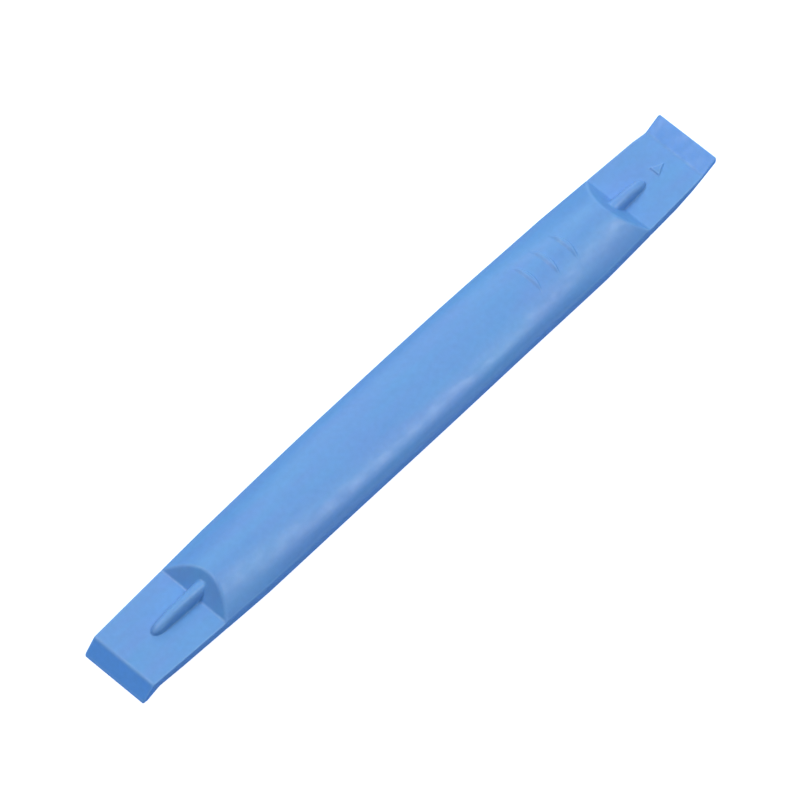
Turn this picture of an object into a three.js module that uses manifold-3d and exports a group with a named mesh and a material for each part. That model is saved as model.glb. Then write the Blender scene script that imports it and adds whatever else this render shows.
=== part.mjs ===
// A double-ended plastic opening tool (spudger), moulded in one shot. Millimetres, +Z up, +X along the tool
// from the hooked end to the chisel end. The origin is under the middle of the tool, on the surface it rests on.
//
// The grip is a swollen bar whose cross-section is a superellipse in the middle and a plain dome over a flat
// band at its ends. At each end an inclined face, the scarp, cuts the dome down to a flat blade, and the blade
// ends in a bent lip: the hooked end's lip bends down, the chisel end's lip bends up and is a thin edge.
import * as THREE from "three";
import { LoftGeometry } from "three/addons/geometries/LoftGeometry.js";
import { mergeVertices } from "three/addons/utils/BufferGeometryUtils.js";
import Module from "manifold-3d";

// Overall size
const LENGTH = 85;
const CROWN_LEVEL = 4.3; // top of the grip along its centreline
const HALF_LENGTH = LENGTH / 2;

// Plan outline: a slight barrel between the shoulders, then straight tapers
const MIDDLE_HALF_WIDTH = 4.92;
const SHOULDER_HALF_WIDTH = 4.74;
const SHOULDER_X = 25;
const TIP_CORNER_RADIUS = 0.25;

// Grip section
const PARTING_LEVEL = 1.92; // where the two mould halves meet on the rounded sides
const PARTING_LAND = 0.1; // the narrow upright band left there
const MIDDLE_EXPONENT = 2.5; // roundness of the superellipse at the middle of the grip
const DOME_START = 8; // the section starts to change to a dome here
const DOME_END = 28; // and is a plain dome from here on
const BELLY_OVERSHOOT = 0.12; // how far the underside would bulge below the resting surface, if not flattened
const BELLY_END_ROUNDNESS = 1.3;

// Blades
const BLADE_TOP = 2.2;
const BLADE_UNDERSIDE = 1;
const SCARP_SLOPE = Math.tan(THREE.MathUtils.degToRad(44));
const BELLY_SCARP_SLOPE = Math.tan(THREE.MathUtils.degToRad(35));

// Each end, described as if it pointed along +X: "out" is the distance from the middle of the tool. The sides
// of the plan outline run straight between its corners, and the blade and its lip run straight between their
// sections.
const HOOK_END = {
  side: -1,
  scarpBase: 30.96,
  outline: [
    { out: SHOULDER_X, halfWidth: SHOULDER_HALF_WIDTH },
    { out: HALF_LENGTH, halfWidth: 4.08 },
  ],
  sections: [
    { out: 37, top: BLADE_TOP, underOut: 37, under: BLADE_UNDERSIDE },
    { out: 40.98, top: BLADE_TOP, underOut: 40.25, under: 1.12 },
    { out: HALF_LENGTH, top: 0.45, underOut: 42.19, under: 0.19 },
  ],
};
const CHISEL_END = {
  side: 1,
  scarpBase: 31.9,
  outline: [
    { out: SHOULDER_X, halfWidth: SHOULDER_HALF_WIDTH },
    { out: 38.6, halfWidth: 4.13 },
    { out: 40.4, halfWidth: 3.97 },
    { out: HALF_LENGTH, halfWidth: 3.99 },
  ],
  sections: [
    { out: 36, top: BLADE_TOP, underOut: 36, under: BLADE_UNDERSIDE },
    { out: 38.6, top: BLADE_TOP, underOut: 38.6, under: 1.36 },
    { out: 40.4, top: 2.08, underOut: 40.4, under: 1.6 },
    { out: HALF_LENGTH, top: 3.25, underOut: HALF_LENGTH, under: 2.6 },
  ],
};

// Stiffening ribs from each scarp onto the blade, round across and blunt-nosed. "nose" is where a rib ends, as
// a distance out, and "length" runs from there back into the grip.
const RIB_HALF_WIDTH = 0.88; // at the end in the grip
const RIB_NOSE_HALF_WIDTH = 0.6;
const RIB_NOSE_ROUND = 1.1; // length of the round nose in plan
const RIB_ROUNDNESS = 2.3; // exponent of the superellipse section
const RIB_SUNK = 0.3; // how far its foot is sunk into the blade
const RIB_BLUNT = 0.02; // the last section stands this far short of the nose
const HOOK_RIB = { side: -1, nose: 36.95, length: 8, height: 1.3, ridgeRound: 4.5 };
const CHISEL_RIB = { side: 1, nose: 35.8, length: 6, height: 1.1, ridgeRound: 3.6 };

// Three raised half-moon grip marks near the chisel end
const MARK_COUNT = 3;
const MARK_FIRST_X = 17.95;
const MARK_PITCH = 2.72;
const MARK_LENGTH = 4.4;
const MARK_WIDTH = 0.85;
const MARK_RELIEF = 0.18;

// A small raised triangle on the chisel blade, pointing to its tip
const ARROW_X = 37.3;
const ARROW_LENGTH = 1.7;
const ARROW_HALF_WIDTH = 0.8;
const ARROW_RELIEF = 0.18;

// Facets
const RING_STEPS = 26; // across the top, and again across the underside
const GRIP_STATIONS = 34;
const CREST_RINGS = 4; // rings that ease from the curved crest of a scarp to a straight station
const CREST_EASE = 0.6; // how far the last straight station stands back from the top of the crest
const CREST_PASSES = 6; // steps that home in on where the grip meets the scarp
const EDGE_GAP = 0.04; // keeps the crest's two ends apart from the ends of the scarp's base line
const RIB_STEPS = 14;
const CORNER_STEPS = 4;
const ARC_STEPS = 10; // along the arc of a mark
const MERGE_DISTANCE = 1e-5;

const PLASTIC = { color: 0x71a3de, roughness: 0.45, metalness: 0 };

const { lerp, smoothstep } = THREE.MathUtils;

const wasm = await Module();
wasm.setup();

// A closed three.js geometry as a manifold-3d solid.
function solidFrom(geometry) {
  const bare = new THREE.BufferGeometry().copy(geometry);
  bare.deleteAttribute("normal");
  bare.deleteAttribute("uv");
  const merged = mergeVertices(bare, MERGE_DISTANCE);
  return new wasm.Manifold(
    new wasm.Mesh({
      numProp: 3,
      vertProperties: merged.attributes.position.array,
      triVerts: new Uint32Array(merged.index.array),
    }),
  );
}

function geometryFrom(solid) {
  const mesh = solid.getMesh();
  const geometry = new THREE.BufferGeometry();
  geometry.setAttribute("position", new THREE.BufferAttribute(mesh.vertProperties, 3));
  geometry.setIndex(new THREE.BufferAttribute(mesh.triVerts, 1));
  geometry.computeVertexNormals();
  return geometry;
}

// Half the width of the plan outline at x, without the rounded tip corners.
function halfWidth(x) {
  const out = Math.abs(x);
  if (out <= SHOULDER_X) {
    return lerp(MIDDLE_HALF_WIDTH, SHOULDER_HALF_WIDTH, (out / SHOULDER_X) ** 2);
  }
  const { outline } = x < 0 ? HOOK_END : CHISEL_END;
  const next = Math.max(1, outline.findIndex((corner) => corner.out >= out));
  const from = outline[next - 1];
  const to = outline[next];
  return lerp(from.halfWidth, to.halfWidth, (out - from.out) / (to.out - from.out));
}

// 1 where the section is the full superellipse, 0 where it is a plain dome over a band.
function fullness(x) {
  return 1 - smoothstep(Math.abs(x), DOME_START, DOME_END);
}

// One half of a superellipse-like section, at an angle from 0 at the +Y side to PI at the -Y side.
// y runs over the width, and rise is 1 on the centreline and 0 at the sides.
function halfSection(x, angle, endRoundness) {
  const full = fullness(x);
  const across = lerp(2, MIDDLE_EXPONENT, full);
  const up = lerp(endRoundness, MIDDLE_EXPONENT, full);
  const c = Math.cos(angle);
  return {
    y: halfWidth(x) * Math.sign(c) * Math.abs(c) ** (2 / across),
    rise: Math.abs(Math.sin(angle)) ** (2 / up),
  };
}

function topPoint(x, angle) {
  const edge = lerp(BLADE_TOP, PARTING_LEVEL + PARTING_LAND / 2, fullness(x));
  const { y, rise } = halfSection(x, angle, 1);
  return new THREE.Vector3(x, y, edge + (CROWN_LEVEL - edge) * rise);
}

function bellyPoint(x, angle) {
  const edge = lerp(BLADE_UNDERSIDE, PARTING_LEVEL - PARTING_LAND / 2, fullness(x));
  const { y, rise } = halfSection(x, angle, BELLY_END_ROUNDNESS);
  return new THREE.Vector3(x, -y, Math.max(0, edge - (edge + BELLY_OVERSHOOT) * rise));
}

// The station where the grip's surface meets a scarp, along the line of one section angle.
function crestStation(end, angle, surface, bladeLevel, slope) {
  let out = end.scarpBase;
  for (let pass = 0; pass < CREST_PASSES; pass++) {
    const height = Math.abs(surface(end.side * out, angle).z - bladeLevel);
    out = end.scarpBase - Math.max(height / slope, EDGE_GAP);
  }
  return end.side * out;
}

// A ring of section points, from +Y over the top to -Y and back under the belly.
function ring(pointOver, pointUnder) {
  const points = [];
  for (let step = 0; step <= RING_STEPS; step++) {
    points.push(pointOver((Math.PI * step) / RING_STEPS));
  }
  for (let step = 0; step <= RING_STEPS; step++) {
    points.push(pointUnder((Math.PI * step) / RING_STEPS));
  }
  return points;
}

// Rings from the straight station out to the crest of a scarp, each a bit more bent than the last.
function crestRings(end, straightX) {
  const rings = [];
  for (let step = 1; step <= CREST_RINGS; step++) {
    const share = step / CREST_RINGS;
    const over = (angle) => {
      const crest = crestStation(end, angle, topPoint, BLADE_TOP, SCARP_SLOPE);
      return topPoint(lerp(straightX, crest, share), angle);
    };
    const under = (angle) => {
      const crest = crestStation(end, angle, bellyPoint, BLADE_UNDERSIDE, BELLY_SCARP_SLOPE);
      return bellyPoint(lerp(straightX, crest, share), angle);
    };
    rings.push(ring(over, under));
  }
  return rings;
}

// A flat ring of a blade. Its top and its underside may stand at different distances out.
function bladeRing(end, { out, top, underOut, under }, inset = 0) {
  const width = (distance) => halfWidth(end.side * distance) - inset;
  const over = (angle) => new THREE.Vector3(end.side * out, width(out) * Math.cos(angle), top);
  const below = (angle) => new THREE.Vector3(end.side * underOut, -width(underOut) * Math.cos(angle), under);
  return ring(over, below);
}

// The section a share of the way from one section to another.
function between(from, to, share) {
  return {
    out: lerp(from.out, to.out, share),
    top: lerp(from.top, to.top, share),
    underOut: lerp(from.underOut, to.underOut, share),
    under: lerp(from.under, to.under, share),
  };
}

// The blade and its lip, from the scarp's base line out to the tip, whose corners are rounded in plan.
function bladeRings(end) {
  const foot = { out: end.scarpBase, top: BLADE_TOP, underOut: end.scarpBase, under: BLADE_UNDERSIDE };
  const [bend, tip] = end.sections.slice(-2);
  const lipLength = Math.hypot(tip.out - bend.out, tip.top - bend.top);
  const corner = [];
  for (let step = 0; step <= CORNER_STEPS; step++) {
    const angle = (Math.PI / 2) * (step / CORNER_STEPS);
    const back = (TIP_CORNER_RADIUS * (1 - Math.sin(angle))) / lipLength;
    const inset = TIP_CORNER_RADIUS * (1 - Math.cos(angle));
    corner.push(bladeRing(end, between(tip, bend, back), inset));
  }
  const plain = [foot, ...end.sections.slice(0, -1)].map((section) => bladeRing(end, section));
  return [...plain, ...corner];
}

// The straight stations of the grip, between the two scarps.
function gripRings() {
  const scarpLength = (CROWN_LEVEL - BLADE_TOP) / SCARP_SLOPE;
  const first = -(HOOK_END.scarpBase - scarpLength - CREST_EASE);
  const last = CHISEL_END.scarpBase - scarpLength - CREST_EASE;
  const rings = [];
  for (let step = 0; step <= GRIP_STATIONS; step++) {
    const x = lerp(first, last, step / GRIP_STATIONS);
    const over = (angle) => topPoint(x, angle);
    const under = (angle) => bellyPoint(x, angle);
    rings.push(ring(over, under));
  }
  return { first, last, rings };
}

// Grip, scarps, blades and lips as one skin, lofted from the hooked tip to the chisel tip.
function barSolid() {
  const grip = gripRings();
  const hook = [...crestRings(HOOK_END, grip.first), ...bladeRings(HOOK_END)];
  const chisel = [...crestRings(CHISEL_END, grip.last), ...bladeRings(CHISEL_END)];
  const rings = [...hook.reverse(), ...grip.rings, ...chisel];
  return solidFrom(new LoftGeometry(rings, { closed: true, capStart: true, capEnd: true }));
}

// A quarter circle from 0 at no distance to 1 at reach.
function quarterRound(distance, reach) {
  return Math.sqrt(1 - (1 - Math.min(1, distance / reach)) ** 2);
}

// A rib that starts inside the grip, comes out of the scarp and falls to a round nose on the blade.
function ribSolid(rib) {
  const rings = [];
  for (let step = 0; step <= RIB_STEPS; step++) {
    const fromNose = lerp(rib.length, RIB_BLUNT, Math.sin((Math.PI / 2) * (step / RIB_STEPS)));
    const widest = lerp(RIB_NOSE_HALF_WIDTH, RIB_HALF_WIDTH, fromNose / rib.length);
    const width = widest * quarterRound(fromNose, RIB_NOSE_ROUND);
    const height = RIB_SUNK + rib.height * quarterRound(fromNose, rib.ridgeRound);
    const points = [];
    for (let turn = 0; turn <= RIB_STEPS; turn++) {
      const angle = (Math.PI * turn) / RIB_STEPS;
      const c = Math.cos(angle);
      const y = width * Math.sign(c) * Math.abs(c) ** (2 / RIB_ROUNDNESS);
      const z = BLADE_TOP - RIB_SUNK + height * Math.abs(Math.sin(angle)) ** (2 / RIB_ROUNDNESS);
      points.push(new THREE.Vector3(rib.side * (rib.nose - fromNose), y, z));
    }
    rings.push(points);
  }
  if (rib.side < 0) rings.reverse();
  return solidFrom(new LoftGeometry(rings, { closed: true, capStart: true, capEnd: true }));
}

// An upright prism over a plan outline, from one level to another.
function prismSolid(shape, low, high) {
  const options = { depth: high - low, bevelEnabled: false, curveSegments: ARC_STEPS };
  const geometry = new THREE.ExtrudeGeometry(shape, options);
  geometry.translate(0, 0, low);
  return solidFrom(geometry);
}

// A half-moon: a straight edge towards the hooked end and an arc towards the chisel end.
function markShape(x) {
  const half = MARK_LENGTH / 2;
  const radius = (half ** 2 + MARK_WIDTH ** 2) / (2 * MARK_WIDTH);
  const sweep = Math.asin(half / radius);
  const shape = new THREE.Shape();
  shape.absarc(x + MARK_WIDTH - radius, 0, radius, -sweep, sweep);
  shape.closePath();
  return shape;
}

// The marks stand a constant height above the crowned surface, so each is cut from a raised copy of the bar.
function markSolids(bar) {
  const raised = bar.translate([0, 0, MARK_RELIEF]);
  const marks = [];
  for (let index = 0; index < MARK_COUNT; index++) {
    const shape = markShape(MARK_FIRST_X + index * MARK_PITCH);
    marks.push(prismSolid(shape, CROWN_LEVEL / 2, CROWN_LEVEL * 2).intersect(raised));
  }
  return marks;
}

function arrowSolid() {
  const shape = new THREE.Shape();
  shape.moveTo(ARROW_X, -ARROW_HALF_WIDTH);
  shape.lineTo(ARROW_X + ARROW_LENGTH, 0);
  shape.lineTo(ARROW_X, ARROW_HALF_WIDTH);
  shape.closePath();
  return prismSolid(shape, (BLADE_TOP + BLADE_UNDERSIDE) / 2, BLADE_TOP + ARROW_RELIEF);
}

function mouldedBody() {
  const bar = barSolid();
  const features = [ribSolid(HOOK_RIB), ribSolid(CHISEL_RIB), ...markSolids(bar), arrowSolid()];
  const whole = features.reduce((solid, feature) => solid.add(feature), bar);
  const mesh = new THREE.Mesh(geometryFrom(whole), new THREE.MeshStandardMaterial(PLASTIC));
  mesh.name = "moulded_body";
  return mesh;
}

const spudger = new THREE.Group();
spudger.add(mouldedBody());

export default spudger;
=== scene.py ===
import math

import bpy
import numpy as np
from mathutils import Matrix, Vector


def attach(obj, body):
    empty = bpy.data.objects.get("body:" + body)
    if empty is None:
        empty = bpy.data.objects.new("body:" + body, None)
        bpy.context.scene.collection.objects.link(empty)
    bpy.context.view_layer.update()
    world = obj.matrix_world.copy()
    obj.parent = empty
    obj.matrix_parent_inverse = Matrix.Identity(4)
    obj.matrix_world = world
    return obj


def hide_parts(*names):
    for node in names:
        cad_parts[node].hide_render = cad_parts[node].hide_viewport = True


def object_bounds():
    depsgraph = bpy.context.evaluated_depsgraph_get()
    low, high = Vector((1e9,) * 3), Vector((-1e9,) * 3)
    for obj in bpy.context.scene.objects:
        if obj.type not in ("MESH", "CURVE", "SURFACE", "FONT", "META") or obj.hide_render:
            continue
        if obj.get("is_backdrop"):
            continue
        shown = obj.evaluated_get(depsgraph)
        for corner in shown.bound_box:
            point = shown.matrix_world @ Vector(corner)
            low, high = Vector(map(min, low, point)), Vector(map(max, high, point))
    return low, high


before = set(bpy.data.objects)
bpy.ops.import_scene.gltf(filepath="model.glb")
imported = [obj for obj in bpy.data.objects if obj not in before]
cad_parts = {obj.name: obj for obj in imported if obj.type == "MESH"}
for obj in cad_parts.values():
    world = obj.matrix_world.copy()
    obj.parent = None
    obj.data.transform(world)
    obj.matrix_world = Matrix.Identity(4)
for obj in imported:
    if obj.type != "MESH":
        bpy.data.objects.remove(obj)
CAD_LOW, CAD_HIGH = (Vector(corner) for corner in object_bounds())

# The double-ended plastic opening tool is one moulding. Its fine surface is worked out here in design
# millimetres, +X from the hooked end to the chisel end and +Z up, then scaled to the frame's length.
DESIGN_LENGTH = 85.0
UNIT = (CAD_HIGH.x - CAD_LOW.x) / DESIGN_LENGTH
HALF_LENGTH = DESIGN_LENGTH / 2

# Grip
CROWN_LEVEL = 4.3
PARTING_LEVEL = 1.92
PARTING_LAND = 0.1
MIDDLE_HALF_WIDTH = 4.92
SHOULDER_HALF_WIDTH = 4.74
SHOULDER_X = 25.0
MIDDLE_EXPONENT = 2.5
DOME_START = 8.0
DOME_END = 28.0
BELLY_OVERSHOOT = 0.12  # how far the underside would bulge below the resting surface, if not flattened
BELLY_END_ROUNDNESS = 1.3
BELLY_SOFTNESS = 0.1  # rounds the rim of the flat

# Blades
BLADE_TOP = 2.2
BLADE_UNDERSIDE = 1.0
SCARP_SLOPE = math.tan(math.radians(44))
BELLY_SCARP_SLOPE = math.tan(math.radians(35))

# Moulded radii
EDGE_RADIUS = 0.16
TIP_EDGE_RADIUS = 0.12
TIP_CORNER_RADIUS = 0.25
CREST_SOFTNESS = 0.22
FOOT_SOFTNESS = 0.16
BEND_SOFTNESS = 0.2
PAST_SCARP = 0.2  # where the grip's surface starts to leave the blade, out from the scarp's base
FALL_AWAY = 4.0  # how steeply a shape leaves the surface outside its own place
TINY = 1e-6  # keeps a divisor above 0

# Each end, by distance out from the middle: half widths of the plan outline, then levels of the blade's top
# and underside, with its lip
HOOK_END = {
    "scarp_base": 30.96,
    "outline": [(SHOULDER_X, SHOULDER_HALF_WIDTH), (HALF_LENGTH, 4.08)],
    "top": [(30.96, BLADE_TOP), (40.98, BLADE_TOP), (HALF_LENGTH, 0.45)],
    "under": [(37.0, BLADE_UNDERSIDE), (40.25, 1.12), (42.19, 0.19)],
}
CHISEL_END = {
    "scarp_base": 31.9,
    "outline": [(SHOULDER_X, SHOULDER_HALF_WIDTH), (38.6, 4.13), (40.4, 3.97), (HALF_LENGTH, 3.99)],
    "top": [(38.6, BLADE_TOP), (40.4, 2.08), (HALF_LENGTH, 3.25)],
    "under": [(36.0, BLADE_UNDERSIDE), (38.6, 1.36), (40.4, 1.6), (HALF_LENGTH, 2.6)],
}

# Ribs: "nose" is where a rib ends, as a distance out, and "length" runs from there back into the grip
RIB_HALF_WIDTH = 0.88  # at the end in the grip
RIB_NOSE_HALF_WIDTH = 0.6
RIB_NOSE_ROUND = 1.1  # length of the round nose in plan
RIB_ROUNDNESS = 2.3  # exponent of the superellipse section
HOOK_RIB = {"side": -1, "nose": 36.95, "length": 8.0, "height": 1.3, "ridge_round": 4.5}
CHISEL_RIB = {"side": 1, "nose": 35.8, "length": 6.0, "height": 1.1, "ridge_round": 3.6}

# Grip marks and arrow
MARK_COUNT = 3
MARK_FIRST_X = 17.95
MARK_PITCH = 2.72
MARK_LENGTH = 4.4
MARK_WIDTH = 0.85
MARK_RELIEF = 0.18
ARROW_X = 37.3
ARROW_LENGTH = 1.7
ARROW_HALF_WIDTH = 0.8
ARROW_RELIEF = 0.18
RELIEF_EDGE = 0.18  # width of the sloping sides of the marks and the arrow
MARK_STRAIGHT_EASE = 0.4  # below 1 makes the slope of a mark's straight side gentler
MARK_DISH = 0.5  # how much of its relief a mark loses inside its rim

# Wear and painted highlights on edges and crests, by how far they stand above the mean level a short reach
# away
WEAR_AND_HIGHLIGHT = "wear_and_highlight"
WEAR_AND_HIGHLIGHT_REACH = 0.15
WEAR_AND_HIGHLIGHT_START = 0.003
WEAR_AND_HIGHLIGHT_FULL = 0.03

# The lips, where painted light makes the plastic bluer and brighter as if lit through from below, start at
# the bends of the blades
THROUGH_LIGHT = "lip_through_light"
THROUGH_LIGHT_WITHIN = 0.3  # how far past its bend a lip reaches its full colour

# Lattice: where the stations along the tool lie, as (start, stop, spacing), and how its lines run across
STATION_RUNS = [
    (-42.2, -40.4, 0.1),
    (-40.4, -37.1, 0.3),
    (-37.1, -28.2, 0.09),
    (-28.2, 17.6, 0.5),
    (17.6, 24.4, 0.06),
    (24.4, 29.4, 0.3),
    (29.4, 36.0, 0.09),
    (36.0, 37.3, 0.2),
    (37.3, 39.0, 0.07),
    (39.0, 42.2, 0.12),
]
CORNER_STATIONS = 8
CENTRE_REACH = 1.05  # just outside the ribs
CENTRE_LINES = 18
FLAT_LINES = 12
EDGE_REACH = 0.3  # how far in from the edge the lines are crowded together
EDGE_LINES = 16


def smooth_min(a, b, softness):
    """The lower of a and b, rounded where they cross."""
    near = np.maximum(softness - np.abs(a - b), 0) / softness
    return np.minimum(a, b) - near**2 * softness / 4


def smooth_max(a, b, softness):
    """The higher of a and b, rounded where they cross."""
    return -smooth_min(-a, -b, softness)


def smoothstep(x, low, high):
    """0 below low and 1 above high, easing in between."""
    share = np.clip((x - low) / (high - low), 0, 1)
    return share * share * (3 - 2 * share)


def mix(a, b, share):
    return a + (b - a) * share


def round_off(distance, radius):
    """How far a quarter-round edge falls below its face, at a distance in from the edge."""
    inside = np.clip(radius - distance, 0, radius)
    return radius - np.sqrt(radius**2 - inside**2)


def soft_path(x, points, softness):
    """A line through points, with its corners rounded over softness to either side."""
    (x0, y0), (x1, y1) = points[:2]
    slope = (y1 - y0) / (x1 - x0)
    value = y0 + slope * (x - x0)
    for (xa, ya), (xb, yb) in zip(points[1:], points[2:]):
        next_slope = (yb - ya) / (xb - xa)
        value = value + (next_slope - slope) * soft_ramp(x - xa, softness)
        slope = next_slope
    return value


def soft_ramp(distance, softness):
    """0 below 0 and distance above it, with a rounded corner."""
    return np.maximum(distance, 0) + np.maximum(softness - np.abs(distance), 0) ** 2 / (4 * softness)


def fullness(x):
    """1 where the section is the full superellipse, 0 where it is a plain dome over a band."""
    return 1 - smoothstep(np.abs(x), DOME_START, DOME_END)


def blade_level(x, face):
    """The level of a blade's "top" or "under" face, which is carried on level through the grip."""
    out = np.abs(x)
    hook = soft_path(out, [(0.0, HOOK_END[face][0][1])] + HOOK_END[face], BEND_SOFTNESS)
    chisel = soft_path(out, [(0.0, CHISEL_END[face][0][1])] + CHISEL_END[face], BEND_SOFTNESS)
    return np.where(x < 0, hook, chisel)


def half_width(x):
    """Half the width of the plan outline at x, with rounded tip corners."""
    out = np.abs(x)
    barrel = mix(MIDDLE_HALF_WIDTH, SHOULDER_HALF_WIDTH, (out / SHOULDER_X) ** 2)
    hook = soft_path(out, HOOK_END["outline"], BEND_SOFTNESS)
    chisel = soft_path(out, CHISEL_END["outline"], BEND_SOFTNESS)
    taper = np.where(x < 0, hook, chisel)
    width = np.where(out < SHOULDER_X, barrel, taper)
    return width - round_off(HALF_LENGTH - out, TIP_CORNER_RADIUS)


def section_rise(x, y, end_roundness):
    """Height over the edge, from 0 at the edge to 1 on the centreline."""
    full = fullness(x)
    across = mix(2.0, MIDDLE_EXPONENT, full)
    up = mix(end_roundness, MIDDLE_EXPONENT, full)
    share = np.clip(np.abs(y) / half_width(x), 0, 1)
    return np.maximum(1 - share**across, 0) ** (1 / up)


def scarp_base(x):
    return np.where(x < 0, HOOK_END["scarp_base"], CHISEL_END["scarp_base"])


def edge_drop(x, y):
    """How far the moulded radii cut the rim back, along the sides of the blades and round the tips."""
    side_radius = EDGE_RADIUS * (1 - fullness(x))
    from_side = half_width(x) - np.abs(y)
    sides = np.where(side_radius > 0, round_off(from_side, np.maximum(side_radius, TINY)), 0)
    return np.maximum(sides, round_off(HALF_LENGTH - np.abs(x), TIP_EDGE_RADIUS))


def quarter_round(distance, reach):
    """A quarter circle from 0 at no distance to 1 at reach."""
    return np.sqrt(1 - (1 - np.clip(distance / reach, 0, 1)) ** 2)


def rib_level(x, y, rib):
    """The level of a rib that is round across and blunt-nosed, and falls away fast outside its plan."""
    from_nose = rib["nose"] - rib["side"] * x
    widest = mix(RIB_NOSE_HALF_WIDTH, RIB_HALF_WIDTH, np.clip(from_nose / rib["length"], 0, 1))
    width = widest * quarter_round(from_nose, RIB_NOSE_ROUND)
    ridge = rib["height"] * quarter_round(from_nose, rib["ridge_round"])
    share = np.clip(np.abs(y) / np.maximum(width, TINY), 0, 1)
    height = ridge * (1 - share**RIB_ROUNDNESS) ** (1 / RIB_ROUNDNESS)
    outside = np.maximum(np.abs(y) - width, 0) + np.abs(from_nose - np.clip(from_nose, 0, rib["length"]))
    return BLADE_TOP + height - FALL_AWAY * outside


def mark_relief(x, y):
    """Half-moons with a straight side towards the hooked end and an arc towards the chisel end."""
    half = MARK_LENGTH / 2
    radius = (half**2 + MARK_WIDTH**2) / (2 * MARK_WIDTH)
    relief = np.zeros_like(y)
    for index in range(MARK_COUNT):
        start = MARK_FIRST_X + index * MARK_PITCH
        inside_arc = radius - np.hypot(x - (start + MARK_WIDTH - radius), y)
        inside = np.minimum((x - start) * MARK_STRAIGHT_EASE, inside_arc)
        dish = MARK_DISH * smoothstep(inside, RELIEF_EDGE, 2 * RELIEF_EDGE)
        relief = np.maximum(relief, MARK_RELIEF * (smoothstep(inside, 0, RELIEF_EDGE) - dish))
    return relief


def arrow_relief(x, y):
    """A triangle pointing to the chisel tip."""
    angle = math.atan2(ARROW_HALF_WIDTH, ARROW_LENGTH)
    inside_sides = (ARROW_X + ARROW_LENGTH - x) * math.sin(angle) - np.abs(y) * math.cos(angle)
    return ARROW_RELIEF * smoothstep(np.minimum(x - ARROW_X, inside_sides), 0, RELIEF_EDGE)


def top_level(x, y):
    """The level of the top: the grip cut down to the blades, with its ribs, marks and arrow."""
    edge = mix(BLADE_TOP, PARTING_LEVEL + PARTING_LAND / 2, fullness(x))
    crown = edge + (CROWN_LEVEL - edge) * section_rise(x, y, 1.0)
    past_scarp = np.maximum(np.abs(x) - scarp_base(x) - PAST_SCARP, 0)
    blade = blade_level(x, "top")
    scarp = BLADE_TOP + (scarp_base(x) - np.abs(x)) * SCARP_SLOPE
    bed = smooth_max(blade, scarp, FOOT_SOFTNESS)
    level = smooth_min(crown + FALL_AWAY * past_scarp, bed, CREST_SOFTNESS)
    for rib in (HOOK_RIB, CHISEL_RIB):
        level = smooth_max(level, rib_level(x, y, rib), FOOT_SOFTNESS)
    return level + mark_relief(x, y) + arrow_relief(x, y) - edge_drop(x, y)


def under_station(x):
    """The hooked lip's underside ends nearer the middle than its top does, so its stations close up."""
    start = HOOK_END["under"][0][0]
    closing = (HOOK_END["under"][-1][0] - start) / (HALF_LENGTH - start)
    return np.where(x < -start, -start + (x + start) * closing, x)


def under_level(x, y):
    """The underside's level at a station of the top, with the blade's read where under_station moves it."""
    edge = mix(BLADE_UNDERSIDE, PARTING_LEVEL - PARTING_LAND / 2, fullness(x))
    belly = edge - (edge + BELLY_OVERSHOOT) * section_rise(x, y, BELLY_END_ROUNDNESS)
    belly = smooth_max(belly, np.zeros_like(belly), BELLY_SOFTNESS)
    past_scarp = np.maximum(np.abs(x) - scarp_base(x) - PAST_SCARP, 0)
    blade = blade_level(under_station(x), "under")
    scarp = BLADE_UNDERSIDE - (scarp_base(x) - np.abs(x)) * BELLY_SCARP_SLOPE
    bed = smooth_min(blade, scarp, FOOT_SOFTNESS)
    return smooth_max(belly - FALL_AWAY * past_scarp, bed, CREST_SOFTNESS) + edge_drop(x, y)


def standing_proud(level, x, y):
    """From 0 to 1, how far a surface rises over what is a short way round it: its edges and crests."""
    around = level(x - WEAR_AND_HIGHLIGHT_REACH, y) + level(x + WEAR_AND_HIGHLIGHT_REACH, y)
    around = around + level(x, y - WEAR_AND_HIGHLIGHT_REACH) + level(x, y + WEAR_AND_HIGHLIGHT_REACH)
    return smoothstep(level(x, y) - around / 4, WEAR_AND_HIGHLIGHT_START, WEAR_AND_HIGHLIGHT_FULL)


def thinness(x):
    """From 0 in the grip and blades to 1 in the lips."""
    bend = np.where(x < 0, HOOK_END["top"][1][0], CHISEL_END["top"][1][0])
    return smoothstep(np.abs(x) - bend, 0, THROUGH_LIGHT_WITHIN)


def add_values(mesh, name, top_values, under_values):
    """One value for each vertex, for the material."""
    values = np.concatenate([top_values.ravel(), under_values.ravel()])
    mesh.attributes.new(name, "FLOAT", "POINT").data.foreach_set("value", values)


def stations():
    """Places along the tool, closer together where there is more shape, and closest round the tips."""
    runs = [np.linspace(a, b, round((b - a) / step), endpoint=False) for a, b, step in STATION_RUNS]
    turn = np.linspace(0, math.pi / 2, CORNER_STATIONS + 1)
    tip = HALF_LENGTH - TIP_CORNER_RADIUS * (1 - np.sin(turn))
    return np.concatenate([-tip[::-1], np.concatenate(runs)[1:], tip])


def lines_across(x):
    """For each station, places from the centreline to the edge."""
    width = half_width(x)
    centre = np.linspace(0, CENTRE_REACH, CENTRE_LINES, endpoint=False) * np.ones_like(width)
    flat_share = np.linspace(0, 1, FLAT_LINES, endpoint=False)
    flat = mix(CENTRE_REACH, width - EDGE_REACH, flat_share)
    turn = np.linspace(0, math.pi / 2, EDGE_LINES + 1)
    edge = width - EDGE_REACH * (1 - np.sin(turn))
    at_ends = np.concatenate([centre, flat, edge], axis=1)
    share = np.linspace(0, 1, at_ends.shape[1])
    in_middle = width * np.sin(share * math.pi / 2) ** (2 / MIDDLE_EXPONENT)
    return mix(at_ends, in_middle, fullness(x))


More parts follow.
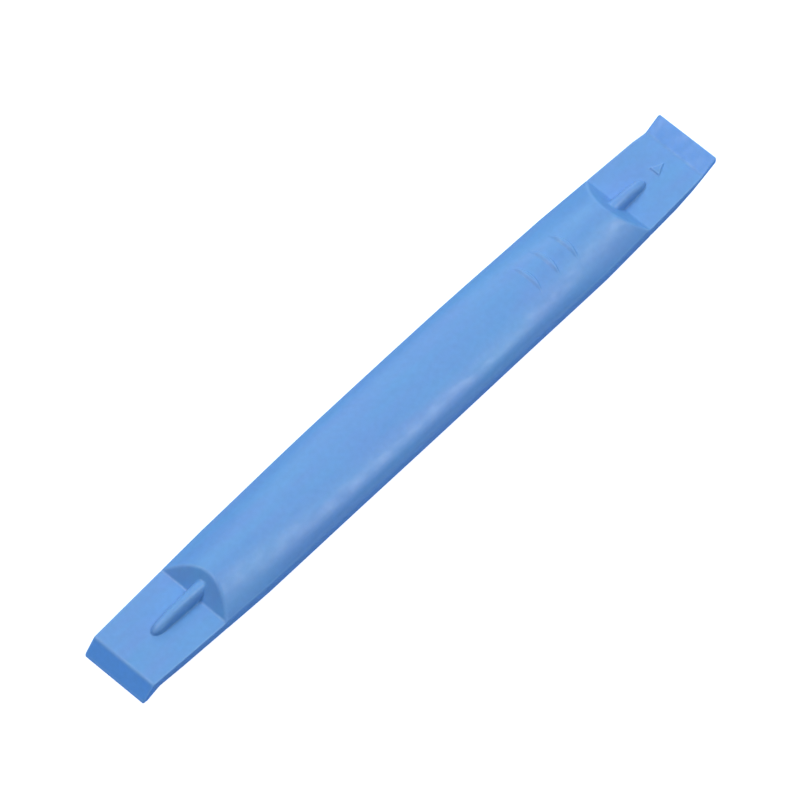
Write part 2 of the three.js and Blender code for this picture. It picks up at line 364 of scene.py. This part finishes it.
def skin_faces(rows, columns, under_columns):
    """Faces of the top lattice and the underside's, joined along both sides and across both tips."""

    def top_index(row, column):
        return row * columns + column

    def under_index(row, column):
        return rows * columns + row * under_columns + column

    faces = []
    last, under_last = columns - 1, under_columns - 1
    for row in range(rows - 1):
        for column in range(columns - 1):
            here = top_index(row, column)
            beyond = top_index(row + 1, column)
            faces.append((here, here + 1, beyond + 1, beyond))
        for column in range(under_columns - 1):
            here = under_index(row, column)
            beyond = under_index(row + 1, column)
            faces.append((here, beyond, beyond + 1, here + 1))
        left = [top_index(row, 0), top_index(row + 1, 0)]
        left += [under_index(row + 1, 0), under_index(row, 0)]
        right = [top_index(row, last), under_index(row, under_last)]
        right += [under_index(row + 1, under_last), top_index(row + 1, last)]
        faces += [left, right]
    for column in range(under_columns - 1):
        for row, direction in ((0, -1), (rows - 1, 1)):
            tip = [top_index(row, 2 * column + step) for step in (0, 1, 2)]
            tip += [under_index(row, column + 1), under_index(row, column)]
            faces.append(tip[::direction])
    return faces


def body_mesh():
    """One closed skin: a top lattice, and an underside one with half as many lines."""
    x = stations()[:, None]
    half = lines_across(x)
    y = np.concatenate([half[:, :0:-1], -half], axis=1)
    under_y = y[:, ::2]
    under_x = np.broadcast_to(under_station(x), under_y.shape)
    top = np.stack([np.broadcast_to(x, y.shape), y, top_level(x, y)], axis=-1)
    under = np.stack([under_x, under_y, under_level(x, under_y)], axis=-1)
    vertices = np.concatenate([top.reshape(-1, 3), under.reshape(-1, 3)]) * UNIT

    mesh = bpy.data.meshes.new("moulded_body_skin")
    mesh.from_pydata(vertices.tolist(), [], skin_faces(*y.shape, under_y.shape[1]))
    # The mask for wear and painted highlights on edges and crests
    under_wear_and_highlight = standing_proud(lambda u, v: -under_level(u, v), x, under_y)
    add_values(mesh, WEAR_AND_HIGHLIGHT, standing_proud(top_level, x, y), under_wear_and_highlight)
    # The mask of painted light shining through the lips
    lip_through_light = thinness(x)
    add_values(mesh, THROUGH_LIGHT, np.broadcast_to(lip_through_light, y.shape), np.broadcast_to(lip_through_light, under_y.shape))
    mesh.validate()
    mesh.update()
    return mesh


# Plastic: colours are linear, stretches and scales are noise features per design millimetre, depths are in
# metres, and a spread is the part of a noise's values that is stretched over the whole change
BLUE = (0.113, 0.32, 0.715)
CYAN_SHARE = (0.95, 1.04, 1.01)
VIOLET_SHARE = (1.06, 0.97, 1.0)
# Painted light: the lips' bluer, brighter blue, as if lit through from below
THROUGH_LIGHT_SHARE = (0.88, 1.06, 1.18)
# Worn edges are paler, and the same paling is a painted highlight on crests, edges and the marks' arcs
SCUFFED_AND_HIGHLIT_BLUE = (0.26, 0.5, 0.88)
SCUFF_AND_HIGHLIGHT_STRENGTH = 0.25
SCUFF_ROUGHNESS = 0.08  # added to the roughness where the plastic is fully worn
FLOW_STRETCH = (0.1, 0.45, 0.45)
FLOW_SPREAD = (0.35, 0.65)
FLOW_DETAIL = 3
SPECKLE_SCALE = 1.7
SPECKLE_DETAIL = 3
SPECKLE_CONTRAST = 0.16
PATCH_STRETCH = (0.5, 1.1, 1.1)
PATCH_SPREAD = (0.3, 0.7)
PATCH_DETAIL = 4
ROUGHNESS_RANGE = (0.43, 0.57)
GRAIN_SCALE = 3.6
GRAIN_DETAIL = 4
GRAIN_DEPTH = 0.000006
HAIRLINE_STRETCH = (0.3, 8.0, 8.0)
HAIRLINE_SPREAD = (0.5, 0.75)
HAIRLINE_DETAIL = 2
HAIRLINE_DEPTH = 0.0000025
GLOSS = 0.7
SCATTER_SHARE = 0.1
SCATTER_DEPTH = 0.0006
SCATTER_REACH = (0.2, 0.5, 1.0)  # how far red, green and blue light travel inside, as shares of that depth

# Sockets of a Mix node set to colours, whose names are shared with its sockets for other kinds of value
MIX_SHARE = 0
MIX_A = 6
MIX_B = 7
MIX_RESULT = 2


def add_node(tree, kind, inputs, **settings):
    """The outputs of a node whose inputs are set to a value or linked to another node's output."""
    made = tree.nodes.new(kind)
    for name, value in settings.items():
        setattr(made, name, value)
    for name, value in inputs.items():
        if isinstance(value, bpy.types.NodeSocket):
            tree.links.new(value, made.inputs[name])
        else:
            made.inputs[name].default_value = value
    return made.outputs


def add_math(tree, operation, a, b):
    return add_node(tree, "ShaderNodeMath", {0: a, 1: b}, operation=operation)["Value"]


def add_noise(tree, place, stretch, detail):
    """Noise from 0 to 1 with about one feature per millimetre times stretch."""
    stretched = add_node(tree, "ShaderNodeVectorMath", {0: place, 1: stretch}, operation="MULTIPLY")
    inputs = {"Vector": stretched["Vector"], "Scale": 1, "Detail": detail}
    return add_node(tree, "ShaderNodeTexNoise", inputs)["Fac"]


def add_range(tree, value, low, high, new_low, new_high):
    """Value taken from between low and high to between new_low and new_high, and held there."""
    inputs = {"Value": value, "From Min": low, "From Max": high, "To Min": new_low, "To Max": new_high}
    return add_node(tree, "ShaderNodeMapRange", inputs)["Result"]


def add_mix(tree, share, a, b):
    """Colour a where share is 0 and b where it is 1."""
    inputs = {MIX_SHARE: share, MIX_A: a, MIX_B: b}
    return add_node(tree, "ShaderNodeMix", inputs, data_type="RGBA")[MIX_RESULT]


def shifted(colour, share):
    """A colour whose channels are each multiplied by their share, with alpha 1."""
    return tuple(channel * factor for channel, factor in zip(colour, share)) + (1,)


def plastic_colour(tree, place, wear_and_highlight):
    """Blue that drifts with the melt's flow, is painted bluer and brighter in the lips as if lit through
    from below, speckles finely and pales on edges and crests with wear and a painted highlight.
    """
    flow = add_range(tree, add_noise(tree, place, FLOW_STRETCH, FLOW_DETAIL), *FLOW_SPREAD, 0, 1)
    drift = add_mix(tree, flow, shifted(BLUE, CYAN_SHARE), shifted(BLUE, VIOLET_SHARE))
    lip_through_light = add_node(tree, "ShaderNodeAttribute", {}, attribute_name=THROUGH_LIGHT)["Fac"]
    # Painted light: the lips are made bluer and brighter as if lit through from below
    through_lit = add_mix(tree, lip_through_light, drift, shifted(BLUE, THROUGH_LIGHT_SHARE))
    # Real wear plus painted highlight: edges, crests and the marks' arcs are paled
    scuff_and_highlight = add_math(tree, "MULTIPLY", wear_and_highlight, SCUFF_AND_HIGHLIGHT_STRENGTH)
    scuffed_and_highlit = add_mix(tree, scuff_and_highlight, through_lit, SCUFFED_AND_HIGHLIT_BLUE + (1,))
    speckle = add_noise(tree, place, (SPECKLE_SCALE,) * 3, SPECKLE_DETAIL)
    half_contrast = SPECKLE_CONTRAST / 2
    brightness = add_range(tree, speckle, 0, 1, 1 - half_contrast, 1 + half_contrast)
    inputs = {"Color": scuffed_and_highlit, "Value": brightness}
    return add_node(tree, "ShaderNodeHueSaturation", inputs)["Color"]


def plastic_roughness(tree, place, wear_and_highlight):
    """A roughness that varies in patches and rises where worn."""
    noise = add_noise(tree, place, PATCH_STRETCH, PATCH_DETAIL)
    patches = add_range(tree, noise, *PATCH_SPREAD, *ROUGHNESS_RANGE)
    return add_math(tree, "ADD", patches, add_math(tree, "MULTIPLY", wear_and_highlight, SCUFF_ROUGHNESS))


def plastic_normal(tree, place):
    """A fine moulded grain with faint hairlines along the tool."""
    grain = add_noise(tree, place, (GRAIN_SCALE,) * 3, GRAIN_DETAIL)
    inputs = {"Height": grain, "Distance": GRAIN_DEPTH, "Strength": 1}
    grained = add_node(tree, "ShaderNodeBump", inputs)["Normal"]
    noise = add_noise(tree, place, HAIRLINE_STRETCH, HAIRLINE_DETAIL)
    hairline = add_range(tree, noise, *HAIRLINE_SPREAD, 0, 1)
    inputs = {"Height": hairline, "Distance": HAIRLINE_DEPTH, "Strength": 1, "Normal": grained}
    return add_node(tree, "ShaderNodeBump", inputs)["Normal"]


def plastic_material():
    """Satin blue plastic, slightly translucent, with an uneven gloss."""
    material = bpy.data.materials.new("blue_plastic_satin")
    material.use_nodes = True
    tree = material.node_tree
    where = add_node(tree, "ShaderNodeTexCoord", {})["Object"]
    inputs = {0: where, "Scale": 1 / UNIT}
    place = add_node(tree, "ShaderNodeVectorMath", inputs, operation="SCALE")["Vector"]
    wear_and_highlight = add_node(tree, "ShaderNodeAttribute", {}, attribute_name=WEAR_AND_HIGHLIGHT)["Fac"]
    shader = tree.nodes["Principled BSDF"]
    tree.links.new(plastic_colour(tree, place, wear_and_highlight), shader.inputs["Base Color"])
    tree.links.new(plastic_roughness(tree, place, wear_and_highlight), shader.inputs["Roughness"])
    tree.links.new(plastic_normal(tree, place), shader.inputs["Normal"])
    shader.inputs["Specular IOR Level"].default_value = GLOSS
    shader.inputs["Subsurface Weight"].default_value = SCATTER_SHARE
    shader.inputs["Subsurface Scale"].default_value = SCATTER_DEPTH
    shader.inputs["Subsurface Radius"].default_value = SCATTER_REACH
    return material


def build_body():
    body = bpy.data.objects.new("moulded_body_visual", body_mesh())
    bpy.context.scene.collection.objects.link(body)
    body.data.materials.append(plastic_material())
    body.data.shade_smooth()
    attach(body, "root")
    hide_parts("moulded_body")
    return body


# Camera: its azimuth turns from -Y towards +X, distances are in metres, and lens and sensor in millimetres
VIEW_AZIMUTH = math.radians(312.9)
VIEW_ELEVATION = math.radians(58.9)
VIEW_DISTANCE = 0.95
VIEW_LENS = 424.4
SENSOR_WIDTH = 36
NEAR_LIMIT = 0.01
AIM = Vector((-0.37, 0.42, 2.45)) * UNIT


def add_camera():
    data = bpy.data.cameras.new("camera")
    data.lens = VIEW_LENS
    data.sensor_width = SENSOR_WIDTH
    data.clip_start = NEAR_LIMIT
    camera = bpy.data.objects.new("camera", data)
    bpy.context.scene.collection.objects.link(camera)
    level = math.cos(VIEW_ELEVATION)
    across = (-math.sin(VIEW_AZIMUTH) * level, math.cos(VIEW_AZIMUTH) * level)
    forward = Vector((*across, -math.sin(VIEW_ELEVATION)))
    camera.location = AIM - forward * VIEW_DISTANCE
    camera.rotation_euler = forward.to_track_quat("-Z", "Y").to_euler()
    bpy.context.scene.camera = camera


# Studio, in metres: a pale blue table with a white glow, and four soft lamps as (elevation, azimuth, watts),
# with their angles in degrees
FLOOR_REACH = 3.0
FLOOR_GAP = 0.00002
FLOOR_COLOUR = (0.4, 0.58, 0.9, 1)
FLOOR_ROUGHNESS = 0.9
FLOOR_GLOSS = 0.1
FLOOR_GLOW = 0.9
GLOW_COLOUR = (1, 1, 1, 1)
LAMPS = [(58, 135, 6.3), (58, 90, 1.9), (58, 315, 7.7), (30, 45, 3.6)]
LAMP_SIZE = 0.55
LAMP_DISTANCE = 1.2


def add_floor(tool):
    """A pale table whose own glow keeps it white round the tool but doesn't light the tool."""
    corners = [(-FLOOR_REACH, -FLOOR_REACH, 0), (FLOOR_REACH, -FLOOR_REACH, 0)]
    corners += [(FLOOR_REACH, FLOOR_REACH, 0), (-FLOOR_REACH, FLOOR_REACH, 0)]
    mesh = bpy.data.meshes.new("floor")
    mesh.from_pydata(corners, [], [(0, 1, 2, 3)])
    floor = bpy.data.objects.new("floor", mesh)
    floor.location.z = CAD_LOW.z - FLOOR_GAP
    bpy.context.scene.collection.objects.link(floor)
    material = bpy.data.materials.new("pale_floor")
    material.use_nodes = True
    shader = material.node_tree.nodes["Principled BSDF"]
    shader.inputs["Base Color"].default_value = FLOOR_COLOUR
    shader.inputs["Roughness"].default_value = FLOOR_ROUGHNESS
    shader.inputs["Specular IOR Level"].default_value = FLOOR_GLOSS
    shader.inputs["Emission Color"].default_value = GLOW_COLOUR
    shader.inputs["Emission Strength"].default_value = FLOOR_GLOW
    mesh.materials.append(material)
    unlit = bpy.data.collections.new("not_lit_by_table")
    unlit.objects.link(tool)
    floor.light_linking.receiver_collection = unlit
    unlit.collection_objects[0].light_linking.link_state = "EXCLUDE"
    floor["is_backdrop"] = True


def add_lamp(elevation, azimuth, watts):
    """A soft round lamp that faces the middle of the tool; azimuth is from +X towards +Y."""
    level = math.cos(math.radians(elevation))
    turn = math.radians(azimuth)
    towards = Vector((level * math.cos(turn), level * math.sin(turn), math.sin(math.radians(elevation))))
    data = bpy.data.lights.new("lamp", "AREA")
    data.shape = "DISK"
    data.size = LAMP_SIZE
    data.energy = watts
    lamp = bpy.data.objects.new("lamp", data)
    lamp.location = towards * LAMP_DISTANCE
    lamp.rotation_euler = (-towards).to_track_quat("-Z", "Y").to_euler()
    bpy.context.scene.collection.objects.link(lamp)


def add_studio(tool):
    """The table and the lamps in an otherwise dark world."""
    add_floor(tool)
    for elevation, azimuth, watts in LAMPS:
        add_lamp(elevation, azimuth, watts)
    world = bpy.data.worlds.new("studio")
    world.use_nodes = True
    world.node_tree.nodes["Background"].inputs["Strength"].default_value = 0
    bpy.context.scene.world = world
    bpy.context.scene.view_settings.view_transform = "Standard"


add_camera()
add_studio(build_body())
